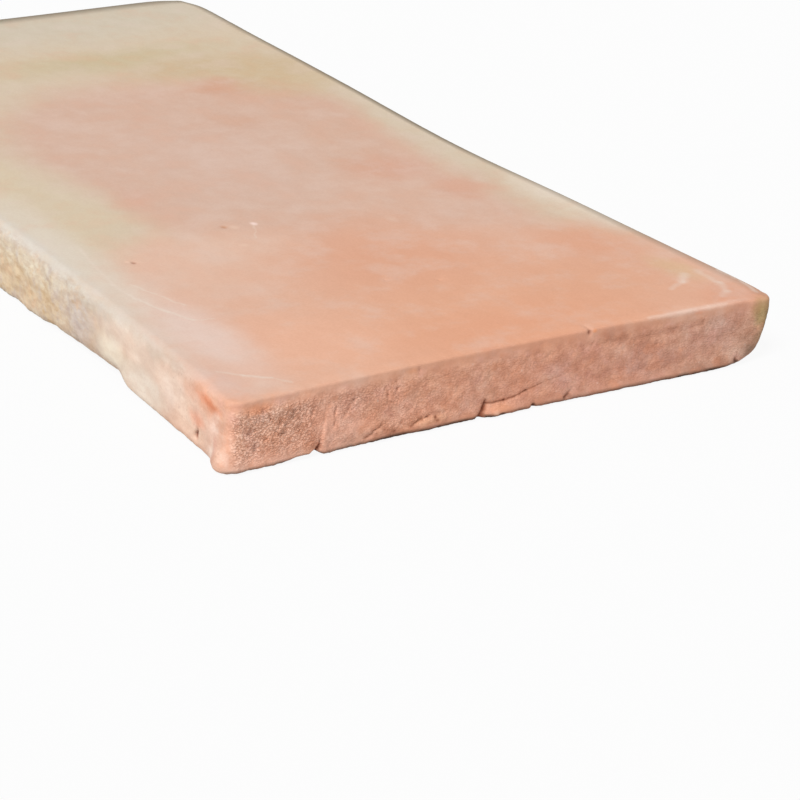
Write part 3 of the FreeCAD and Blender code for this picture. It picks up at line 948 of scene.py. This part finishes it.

# %% Stains
# Centre, size, softness, amount and colour, as above: the left wall, the right corner and the front end.
# A few are painted shade or painted light, as marked.
STAINS = [
    ((-88, -75, 22), (15, 125, 8), 0.9, 0.8, paint(225, 214, 198)),
    # Painted shade: darker along the left top edge, where the lamp falls full on it.
    ((-97, -60, 19.5), (5, 180, 4.5), 0.8, 0.9, paint(212, 199, 182)),
    ((-82, -150, 22), (18, 55, 6), 0.9, 0.85, paint(232, 205, 192)),
    ((-98, -65, 8), (9, 45, 9), 0.6, 0.9, paint(221, 195, 160)),
    ((-97, -55, 16), (9, 60, 5), 0.6, 0.9, paint(232, 217, 192)),
    ((-98, -90, 14), (8, 18, 7), 0.8, 0.7, paint(220, 202, 186)),
    ((-98, -98, 11), (8, 11, 9), 0.6, 0.85, paint(212, 197, 187)),
    ((-98, -132, 15), (9, 34, 7), 0.7, 0.9, paint(244, 219, 199)),
    ((-98, -120, 8), (8, 15, 9), 0.8, 0.9, paint(245, 231, 209)),
    ((-99, -142, 5), (8, 24, 9), 0.7, 0.95, paint(239, 223, 206)),
    ((-99, -161, 13), (8, 14, 8), 0.8, 0.85, paint(254, 229, 210)),
    ((-99, -174, 8), (8, 14, 9), 0.7, 0.9, paint(250, 217, 194)),
    ((-95, -186, 19.5), (12, 22, 6), 0.9, 0.9, paint(232, 172, 141)),
    ((-97, -184, 17.0), (9, 25, 6.5), 0.9, 0.9, paint(246, 192, 163)),
    ((-98, -185, 16.0), (8, 14, 6), 0.9, 0.45, paint(246, 178, 144)),
    ((-98, -186, 17.2), (7, 12, 2.6), 0.9, 0.9, paint(234, 148, 108)),
    ((-99, -179, 9.5), (6, 8, 4.0), 0.9, 0.75, paint(244, 168, 136)),
    # Painted light: paler in the hollow above the foot, against its shade.
    ((-99, -190, 10), (6, 7, 8), 0.9, 0.75, paint(255, 216, 196)),
    ((-100, -191, 12), (5, 4.5, 7), 0.9, 0.7, paint(255, 224, 207)),
    ((-99, -196, 6), (8, 7, 12), 0.8, 0.8, paint(244, 196, 171)),
    # Painted light: paler in the hollow above the foot, against its shade.
    ((-100.5, -189.5, 4), (4, 5, 4), 0.9, 0.8, paint(255, 232, 216)),
    ((-98.3, -197.5, 13), (3, 3.5, 9), 0.9, 0.85, paint(236, 174, 145)),
    ((-98, -198, 21.0), (12, 10, 4.5), 0.9, 0.85, paint(232, 164, 128)),
    ((-94, -184, 22), (9, 18, 3), 0.9, 0.6, paint(224, 197, 186)),
    ((-84, -189, 22), (15, 9, 3), 0.9, 0.55, paint(230, 198, 181)),
    ((91, -200, 7), (6, 6, 9), 0.9, 0.6, paint(172, 130, 106)),
    ((95.3, -199, 16.5), (7, 9, 7), 0.7, 0.95, paint(184, 155, 106)),
    ((96, -198, 9), (5.5, 8, 7), 0.9, 0.85, paint(158, 130, 90)),
    ((94, -198, 3.0), (9, 10, 5), 0.9, 0.8, paint(146, 122, 100)),
    ((46, -200, 9), (60, 6, 14), 0.9, 0.8, paint(199, 143, 124)),
    ((8, -200, 11), (70, 6, 22), 0.7, 0.4, paint(214, 147, 129)),
    ((-55, -200, 11), (60, 6, 16), 0.9, 0.9, paint(242, 171, 141)),
    ((-66, -200, 7), (15, 6, 14), 0.9, 0.7, paint(246, 187, 161)),
    ((-88, -200, 4), (20, 6, 9), 0.9, 0.8, paint(255, 188, 158)),
    # Painted light: paler where the dents shade the front end.
    ((-87, -200, 12), (20, 6, 10), 0.9, 0.8, paint(255, 200, 172)),
    ((-85, -200, 19.5), (30, 6, 4.5), 0.9, 0.6, paint(246, 172, 134)),
    ((-90, -200, 19.4), (8, 6, 2.4), 0.9, 0.6, paint(240, 152, 104)),
    ((-64, -200, 17.5), (14, 6, 6), 0.9, 0.6, paint(238, 185, 162)),
    ((30, -200, 0), (60, 8, 4.5), 0.9, 0.7, paint(192, 136, 113)),
    ((-45, -200, 1.6), (10, 6, 3.4), 0.9, 0.6, paint(168, 104, 76)),
    ((74, -200, 1.0), (20, 6, 4.5), 0.9, 0.6, paint(158, 110, 92)),
    ((52, -200, 8), (22, 6, 6), 0.9, 0.55, paint(202, 156, 142)),
    ((48, -200, 18.0), (48, 6, 4.5), 0.9, 0.65, paint(200, 136, 108)),
    ((-30, -200, 1.2), (28, 6, 3.2), 0.9, 0.5, paint(172, 110, 84)),
    ((0, -200, 20.5), (55, 6, 3), 0.9, 0.35, paint(205, 140, 112)),
    ((35, -200, 18), (12, 6, 5), 0.9, 0.6, paint(192, 124, 94)),
    ((-41, -200, 19.5), (8, 6, 3), 0.9, 0.5, paint(206, 138, 106)),
    ((48, -200, 12), (14, 6, 3.5), 0.9, 0.4, paint(190, 132, 112)),
    ((84, -200, 18), (8, 6, 5), 0.9, 0.45, paint(186, 130, 108)),
    ((-60, -200, 13), (8, 6, 6), 0.9, 0.4, paint(236, 182, 162)),
    ((50, -200, 16.0), (28, 6, 1.9), 0.9, 0.6, paint(184, 122, 97)),
    ((78, -200, 14), (15, 6, 10), 0.9, 0.65, paint(192, 137, 117)),
    ((-5, -200, 3.0), (7, 6, 2.4), 0.8, 0.7, paint(226, 158, 122)),
    ((-30, -200, 3.0), (8, 6, 2.5), 0.9, 0.6, paint(240, 178, 142)),
    ((59, -198.5, 21.6), (2.0, 2.5, 1.4), 0.9, 0.8, paint(240, 160, 122)),
    ((69, -199, 20.4), (5, 3, 1.2), 0.9, 0.7, paint(222, 140, 100)),
]
print(f"{len(STAINS)} stains")

# %% Flecks
# Small marks that don't waver, in the same columns: pits, pale spots beside them, the chip and the marks of
# the top edge, the bright lip and flap, painted shade under the bottom edge and in its nicks, and painted
# shade down the right corner, where it turns away from the lamp.
FLECKS = [
    ((-29.5, -67.8, 22), (1.7, 2.4, 3), 0.9, 0.7, paint(200, 146, 116)),
    ((-26.6, -69.7, 22), (2.2, 2.6, 3), 0.9, 0.5, paint(233, 200, 178)),
    ((-19.0, -69.5, 22), (1.8, 2.6, 3), 0.9, 1.0, paint(246, 218, 207)),
    ((-32.0, -86.2, 22), (2.6, 2.4, 3), 0.9, 0.5, paint(236, 204, 184)),
    ((-71.9, -85.2, 22), (1.2, 1.8, 3), 0.9, 0.8, paint(176, 130, 110)),
    ((-73.6, -84.0, 22), (1.3, 1.8, 3), 0.9, 0.6, paint(243, 208, 186)),
    # Partly bloom, partly a painted highlight along the front top edge.
    ((70, -197.4, 22), (28, 2.2, 2), 0.9, 0.5, paint(238, 206, 190)),
    ((25.8, -85, 22), (3, 5, 3), 0.9, 0.4, paint(228, 196, 176)),
    ((29.4, -198.0, 21.2), (1.4, 2.5, 1.1), 0.9, 0.9, paint(250, 166, 114)),
    # Painted shade in the chip.
    ((27.4, -198.0, 21.0), (0.8, 2.5, 1.2), 0.8, 0.8, paint(120, 66, 44)),
    # Painted shade under the bottom edge.
    ((-44, -199, 0.3), (10, 6, 1.8), 0.9, 0.9, paint(70, 46, 34)),
    ((-20, -199, 0.3), (9, 6, 1.2), 0.9, 0.7, paint(80, 54, 40)),
    ((-29.8, -199.5, 3.2), (7.4, 6, 1.9), 0.5, 0.5, paint(240, 182, 148)),
    ((-37, -199, 20.2), (3.5, 4, 1.4), 0.9, 0.5, paint(226, 150, 104)),
    ((-22, -199, 21.3), (4.5, 3, 1.0), 0.9, 0.5, paint(250, 196, 166)),
    ((-4, -199, 19.4), (3, 4, 1.2), 0.9, 0.4, paint(226, 142, 104)),
    # Painted shade down the right corner, where it turns away from the lamp.
    ((98.0, -197, 10), (2.4, 9, 11), 0.9, 0.85, paint(104, 90, 68)),
    # Painted shade in nicks and under the bottom edge, apart from the pale clod.
    ((-27.3, -199, 0.6), (1.6, 6, 0.9), 0.9, 0.8, paint(70, 46, 34)),
    ((-7.0, -199.5, 1.3), (1.7, 6, 1.2), 0.9, 0.45, paint(246, 196, 168)),
    ((-5.0, -199, 0.5), (1.8, 6, 1.0), 0.9, 0.85, paint(60, 40, 30)),
    ((7.2, -199, 0.8), (1.4, 6, 1.0), 0.8, 0.95, paint(60, 40, 30)),
    ((20.4, -199, 1.7), (1.6, 6, 0.9), 0.9, 0.35, paint(70, 46, 34)),
    ((77, -199, 0.5), (9, 6, 1.1), 0.9, 0.6, paint(70, 52, 42)),
    ((85.7, -199, 1.5), (1.3, 6, 1.0), 0.8, 0.8, paint(70, 46, 34)),
]
print(f"{len(FLECKS)} flecks")

# %% Colours, cracks and hairlines
BLOOM = paint(234, 217, 203)
# The left top edge: partly bloom, partly painted shade where the lamp falls full on it.
EDGE_BLOOM_AND_SHADE = paint(216, 212, 208)
LIME_SPECK = paint(236, 202, 184)
DARK_SPECK = paint(150, 92, 68)
WARM_CLOUD = paint(226, 172, 145)
MILKY_CLOUD = paint(226, 204, 192)
BROWN_SAND = paint(198, 162, 120)
CREAM_SAND = paint(236, 223, 201)
# Painted shade: in hollows, on the right and far top edges, under the bottom edges and in the lap cracks.
HOLLOW_SHADE_COLOUR = paint(136, 68, 42)
EDGE_SHADE_COLOUR = paint(112, 101, 84)
RIM_SHADE_COLOUR = paint(74, 52, 40)
CRACK_SHADE = paint(138, 74, 45)
MAUVE_CLAY = paint(226, 168, 152)
RUSTY_CLAY = paint(232, 150, 106)
LAVENDER_ROCK = paint(206, 190, 183)
PEACH_ROCK = paint(230, 194, 158)
# Painted shade in the cracks of the laps in the front end:
# start and end as X and Z, half width and strength.
CRACKS = [
    ((-11.8, 0.8), (-11.0, 2.6), 1.4, 0.5),
    ((-11.0, 2.6), (-10.3, 5.8), 1.0, 0.5),
    ((-10.2, 4.5), (-3.5, 4.5), 0.6, 0.7),
    ((-3.5, 4.5), (0.1, 5.0), 0.55, 0.65),
    ((0.1, 5.0), (4.4, 6.2), 0.5, 0.65),
    ((4.4, 6.2), (10.1, 7.5), 0.45, 0.5),
    ((10.1, 7.5), (17.5, 8.7), 0.4, 0.25),
    ((-70.2, 0.6), (-69.2, 3.2), 0.8, 0.8),
    ((-53.0, 1.9), (-50.6, 3.2), 0.6, 0.35),
    ((-50.2, 3.6), (-47.6, 5.0), 0.5, 0.3),
    ((-37.2, 2.4), (-34.6, 4.2), 0.55, 0.5),
    ((-34.6, 4.2), (-30.5, 4.9), 0.5, 0.35),
]
# Pale hairlines in the wear face and the left wall: start, end, half width and strength.
HAIRLINES = [
    ((-72, -139, 22), (-78, -137, 22), 0.8, 0.4),
    ((-78, -137, 22), (-82, -128, 22), 1.1, 0.5),
    ((-82, -128, 22), (-86, -113, 22), 1.1, 0.6),
    ((-86, -113, 22), (-87, -100, 22), 1.0, 0.45),
    ((-87, -100, 22), (-82, -67, 22), 1.0, 0.3),
    ((-75, -125, 22), (-82, -102, 22), 0.9, 0.4),
    ((-76, -192.5, 22), (-79.4, -187, 22), 1.1, 0.35),
    ((-79.4, -187, 22), (-86, -182, 22), 1.3, 0.5),
    ((-86, -182, 22), (-91, -176.5, 22), 1.2, 0.4),
    ((83, -192, 22), (87, -189, 22), 2.2, 0.22),
    ((87, -189, 22), (89.5, -182, 22), 2.4, 0.32),
    ((89.5, -182, 22), (90, -170, 22), 2.2, 0.26),
    ((72, -180, 22), (80, -176, 22), 1.8, 0.3),
    ((80, -176, 22), (84, -171, 22), 2.8, 0.45),
    # Partly bloom, partly a painted highlight along the front top edge.
    ((50, -197.4, 22), (80, -198.0, 22), 1.5, 0.25),
    ((96.6, -193.0, 21.6), (97.2, -172, 21.6), 1.6, 0.5),
    ((-20, -71, 22), (-25, -82, 22), 0.7, 0.3),
    ((-98.3, -144, 12.4), (-98.5, -149, 11.7), 0.9, 0.6),
    ((-98.5, -149, 11.7), (-98.9, -153, 8.1), 0.9, 0.8),
    ((-98.9, -153, 8.1), (-99.0, -152, 5.3), 0.8, 0.6),
]
print(f"{len(CRACKS)} cracks, {len(HAIRLINES)} hairlines")

# %% [markdown]
# The lists are now laid over each other in one material, and its Principled shader takes the colour at the
# end. The order matters: patches first, then clouds, edges and lines, and last the painted shade of the
# hollows and the grain, which darkens whatever colour lies in a hollow. The grain is also a bump, since it
# is too fine for the mesh.

# %% Fired terracotta
def blend_colour(tree, factor, first, second, blend="MIX"):
    """One colour over another."""
    node = add_node(tree, "ShaderNodeMix", data_type="RGBA", blend_type=blend)
    for socket, value in ((node.inputs[0], factor), (node.inputs[6], first), (node.inputs[7], second)):
        if isinstance(value, bpy.types.NodeSocket):
            tree.links.new(value, socket)
        else:
            socket.default_value = value
    return node.outputs[2]


ROUGHNESS = 0.9
SPECULAR = 0.25
fired_terracotta.use_nodes = True
tree = fired_terracotta.node_tree
shader = tree.nodes["Principled BSDF"]
shader.inputs["Roughness"].default_value = ROUGHNESS
shader.inputs["Specular IOR Level"].default_value = SPECULAR
place = scaled(tree, tree.nodes.new("ShaderNodeTexCoord").outputs["Object"], 1 / MM)


def use_group(group, **inputs):
    """A node group in the fired terracotta, with values or links on its named sockets."""
    return add_node(tree, "ShaderNodeGroup", inputs, node_tree=group)


def attribute(name):
    """A point attribute of the tile."""
    return add_node(tree, "ShaderNodeAttribute", attribute_name=name).outputs["Fac"]


def waver(at, length, amount):
    """A place that wavers in waves of a length, by an amount, both in mm."""
    return use_group(wavering, Place=at, Length=length, Amount=amount).outputs[0]


def cloud_noise(at, size):
    """A broad noise of the clay, from 0 to 1."""
    return use_group(clay_grain, Place=at, Size=size).outputs["Cloud"]


print("roughness", ROUGHNESS)

# %% Places and noises
# Length and amount of the waves in mm: two for broad patches, and one each for stains, hairlines and cracks.
BROAD_WAVES = (50.0, 24.0)
RAGGED_WAVES = (9.0, 5.0)
STAIN_WAVES = (9.0, 6.0)
LINE_WAVES = (5.0, 3.0)
CRACK_WAVES = (3.0, 0.9)
# The grain and the mottling are stretched along the way that the clay was dragged.
GRAIN_STRETCH = (0.8, 1.0, 1.2)
MOTTLE_STRETCH = (1.0, 0.45, 1.1)
GRAIN_SIZE = 0.72
CLOUD_SIZE = 0.75
MOTTLE_SIZE = 0.22
PEBBLE_SIZE = 0.1
BLUSH_SIZE = 0.36
# Y where the front end's own colours begin and are full, and the same for its sand.
FRONT_RANGE = (-185.0, -192.0)
FRONT_SAND_RANGE = (0.05, 0.3)
# Cracks count on the plane of the front end, so their Y is left out.
FRONT_PLANE = (1.0, 0.0, 1.0)
EVERYWHERE = 1.0

broad_place = waver(waver(place, *BROAD_WAVES), *RAGGED_WAVES)
small_place = waver(place, *STAIN_WAVES)
line_place = waver(place, *LINE_WAVES)
crack_place = calculate_vector(tree, "MULTIPLY", waver(place, *CRACK_WAVES), FRONT_PLANE)
grain_place = calculate_vector(tree, "MULTIPLY", place, GRAIN_STRETCH)
grain = use_group(clay_grain, Place=grain_place, Size=GRAIN_SIZE).outputs["Grain"]
mottle_place = calculate_vector(tree, "MULTIPLY", place, MOTTLE_STRETCH)
mottle = cloud_noise(mottle_place, MOTTLE_SIZE)
pebbles = cloud_noise(mottle_place, PEBBLE_SIZE)
clouds = cloud_noise(place, CLOUD_SIZE)
blush = cloud_noise(place, BLUSH_SIZE)
axes = add_node(tree, "ShaderNodeSeparateXYZ", {0: place}).outputs
at_front = ramp(tree, axes["Y"], *FRONT_RANGE)
on_rock = attribute("rocky")
sandy = attribute("sand")
front_clay = multiply(tree, ramp(tree, sandy, *FRONT_SAND_RANGE), at_front)
print(f"places and noises: {len(tree.nodes)} nodes")

# %% Patches and clouds
colour = STRAW
for patches, patch_place in ((FIRED_PATCHES, broad_place), (STAINS, small_place)):
    for centre, size, softness, amount, patch_colour in patches:
        patch = use_group(soft_patch, Place=patch_place, Centre=centre, Size=size, Softness=softness,
                          Amount=amount)
        colour = blend_colour(tree, patch.outputs["Mask"], colour, patch_colour)
# Noise, the value where a cloud starts and where it is full, its amount, where it lies, and its colour.
CLOUDED = [
    (clouds, 0.45, 0.75, 0.22, EVERYWHERE, WARM_CLOUD),
    (clouds, 0.58, 0.25, 0.3, EVERYWHERE, MILKY_CLOUD),
    (mottle, 0.5, 0.65, 0.5, on_rock, BROWN_SAND),
    (mottle, 0.48, 0.35, 0.5, on_rock, CREAM_SAND),
    (blush, 0.52, 0.68, 0.36, front_clay, MAUVE_CLAY),
    (blush, 0.46, 0.32, 0.25, front_clay, RUSTY_CLAY),
    (blush, 0.52, 0.66, 0.5, on_rock, LAVENDER_ROCK),
    (blush, 0.47, 0.33, 0.5, on_rock, PEACH_ROCK),
]
for noise, cloud_start, cloud_full, amount, where, cloud_colour in CLOUDED:
    cloud = multiply(tree, ramp(tree, noise, cloud_start, cloud_full, 0.0, amount), where)
    colour = blend_colour(tree, cloud, colour, cloud_colour)
print(f"patches and clouds: {len(tree.nodes)} nodes")

# %% Edges, hairlines, flecks and cracks
# X where the bloom and painted shade of the left top edge begin and are full, and their amount.
BLOOM_AND_SHADE_RANGE = (-70.0, -92.0)
BLOOM_AND_SHADE_AMOUNT = 0.9
# The part of the mottling that shows in the left edge's bloom and painted shade and in the painted shade
# under the bottom edges, and their least and most in it.
MOTTLE_RANGE = (0.3, 0.6)
BLOOM_AND_SHADE_MOTTLE = (0.15, 0.5)
RIM_SHADE_MOTTLE = (0.45, 1.0)
left_edge = ramp(tree, axes["X"], *BLOOM_AND_SHADE_RANGE, 0.0, BLOOM_AND_SHADE_AMOUNT)
# Bloom and painted shade on the left top edge.
bloom_and_shade = multiply(tree, attribute("arris"), left_edge, ramp(tree, mottle, *MOTTLE_RANGE, *BLOOM_AND_SHADE_MOTTLE))
colour = blend_colour(tree, bloom_and_shade, colour, EDGE_BLOOM_AND_SHADE)
# Painted shade on the top edges of the right and far walls.
colour = blend_colour(tree, attribute("edge_shade"), colour, EDGE_SHADE_COLOUR)
# Painted shade under the bottom edges.
rim_shade_mottled = multiply(tree, attribute("rim_shade"), ramp(tree, mottle, *MOTTLE_RANGE, *RIM_SHADE_MOTTLE))
colour = blend_colour(tree, rim_shade_mottled, colour, RIM_SHADE_COLOUR)
for line_start, line_end, width, amount in HAIRLINES:
    line = use_group(hairline, Place=line_place, From=line_start, To=line_end, Width=width, Amount=amount)
    colour = blend_colour(tree, line.outputs["Mask"], colour, BLOOM)
for centre, size, softness, amount, fleck_colour in FLECKS:
    fleck = use_group(soft_patch, Place=place, Centre=centre, Size=size, Softness=softness, Amount=amount)
    colour = blend_colour(tree, fleck.outputs["Mask"], colour, fleck_colour)
# Painted shade along the cracks of the laps.
for (start_x, start_z), (end_x, end_z), width, amount in CRACKS:
    crack_shade = use_group(hairline, Place=crack_place, From=(start_x, 0, start_z), To=(end_x, 0, end_z),
                      Width=width, Amount=amount)
    colour = blend_colour(tree, multiply(tree, crack_shade.outputs["Mask"], at_front), colour, CRACK_SHADE)
print(f"edges, lines and cracks: {len(tree.nodes)} nodes")

# %% Specks, shade and grain
# Darker clay is also redder, and so is the grain's painted shade:
# powers of a shade's factor in green and in blue.
GREEN_POWER = 1.5
BLUE_POWER = 1.8
# How much of their colour the dark specks have in full sand.
DARK_AMOUNT = 0.6
# Depth of the relief in mm where the painted shade of hollows starts and where it is darkest, and by how
# much.
HOLLOW_RANGE = (-0.15, -1.3)
HOLLOW_AMOUNT = 0.7
# How much sand brings freckles, and their least and most.
FRECKLE_SAND = (0.05, 0.4)
FRECKLE_SHARE = (0.15, 1.0)
# The part of its noise that each shade shows, and its darkest and lightest factor.
CLOUD_RANGE = (0.3, 0.7)
SPECKLE_RANGE = (0.24, 0.6)
FRECKLE_SHADE = (0.91, 1.09)
PEBBLE_SHADE = (0.9, 1.08)
SPECKLE_SHADE = (0.72, 1.07)
# More freckles on the front end, and the least speckle on smooth clay.
FRONT_FRECKLES = 0.3
LEAST_SPECKLE = 0.08
# The part of the grain that shows as bumps, their low and high, their least share and their height in m.
BUMP_GRAIN = (0.18, 0.62)
BUMP_RANGE = (0.15, 0.52)
LEAST_BUMP = 0.02
BUMP_HEIGHT = 0.0008


def shaded(colour, factor, share):
    """A colour times a factor, for a share of the surface."""
    green = calculate(tree, "POWER", factor, GREEN_POWER)
    blue = calculate(tree, "POWER", factor, BLUE_POWER)
    tint = add_node(tree, "ShaderNodeCombineColor", {0: factor, 1: green, 2: blue}).outputs[0]
    return blend_colour(tree, share, colour, tint, "MULTIPLY")


lime = use_group(specks, Place=place, Spacing=2.6, Size=0.55, Share=0.15).outputs["Mask"]
colour = blend_colour(tree, multiply(tree, lime, sandy), colour, LIME_SPECK)
dark = use_group(specks, Place=small_place, Spacing=2.1, Size=0.6, Share=0.3).outputs["Mask"]
colour = blend_colour(tree, multiply(tree, sandy, DARK_AMOUNT, dark), colour, DARK_SPECK)
# Painted shade in the hollows of the relief.
hollow_shade = ramp(tree, attribute("relief"), *HOLLOW_RANGE, 0.0, HOLLOW_AMOUNT)
colour = blend_colour(tree, hollow_shade, colour, HOLLOW_SHADE_COLOUR)
wall_share = ramp(tree, sandy, *FRECKLE_SAND, *FRECKLE_SHARE)
freckle = ramp(tree, mottle, *CLOUD_RANGE, *FRECKLE_SHADE)
colour = shaded(colour, freckle, wall_share)
colour = shaded(colour, freckle, multiply(tree, front_clay, FRONT_FRECKLES))
colour = shaded(colour, ramp(tree, pebbles, *CLOUD_RANGE, *PEBBLE_SHADE), on_rock)
fine_sand = multiply(tree, sandy, sandy)
# The grain's tone, darker in the low places of its bumps as painted shade.
grain_tone_and_shade = ramp(tree, grain, *SPECKLE_RANGE, *SPECKLE_SHADE)
colour = shaded(colour, grain_tone_and_shade, calculate(tree, "MAXIMUM", fine_sand, LEAST_SPECKLE))
tree.links.new(colour, shader.inputs["Base Color"])
pitted = ramp(tree, grain, *BUMP_GRAIN, *BUMP_RANGE)
bumps = multiply(tree, pitted, calculate(tree, "MAXIMUM", fine_sand, LEAST_BUMP))
bump = add_node(tree, "ShaderNodeBump", {"Strength": 1.0, "Distance": BUMP_HEIGHT, "Height": bumps})
tree.links.new(bump.outputs[0], shader.inputs["Normal"])
print(f"fired terracotta: {len(tree.nodes)} nodes")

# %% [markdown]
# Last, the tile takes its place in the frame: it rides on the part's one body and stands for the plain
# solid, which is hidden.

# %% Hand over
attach(tile, "root")
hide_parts("terracotta_tile")
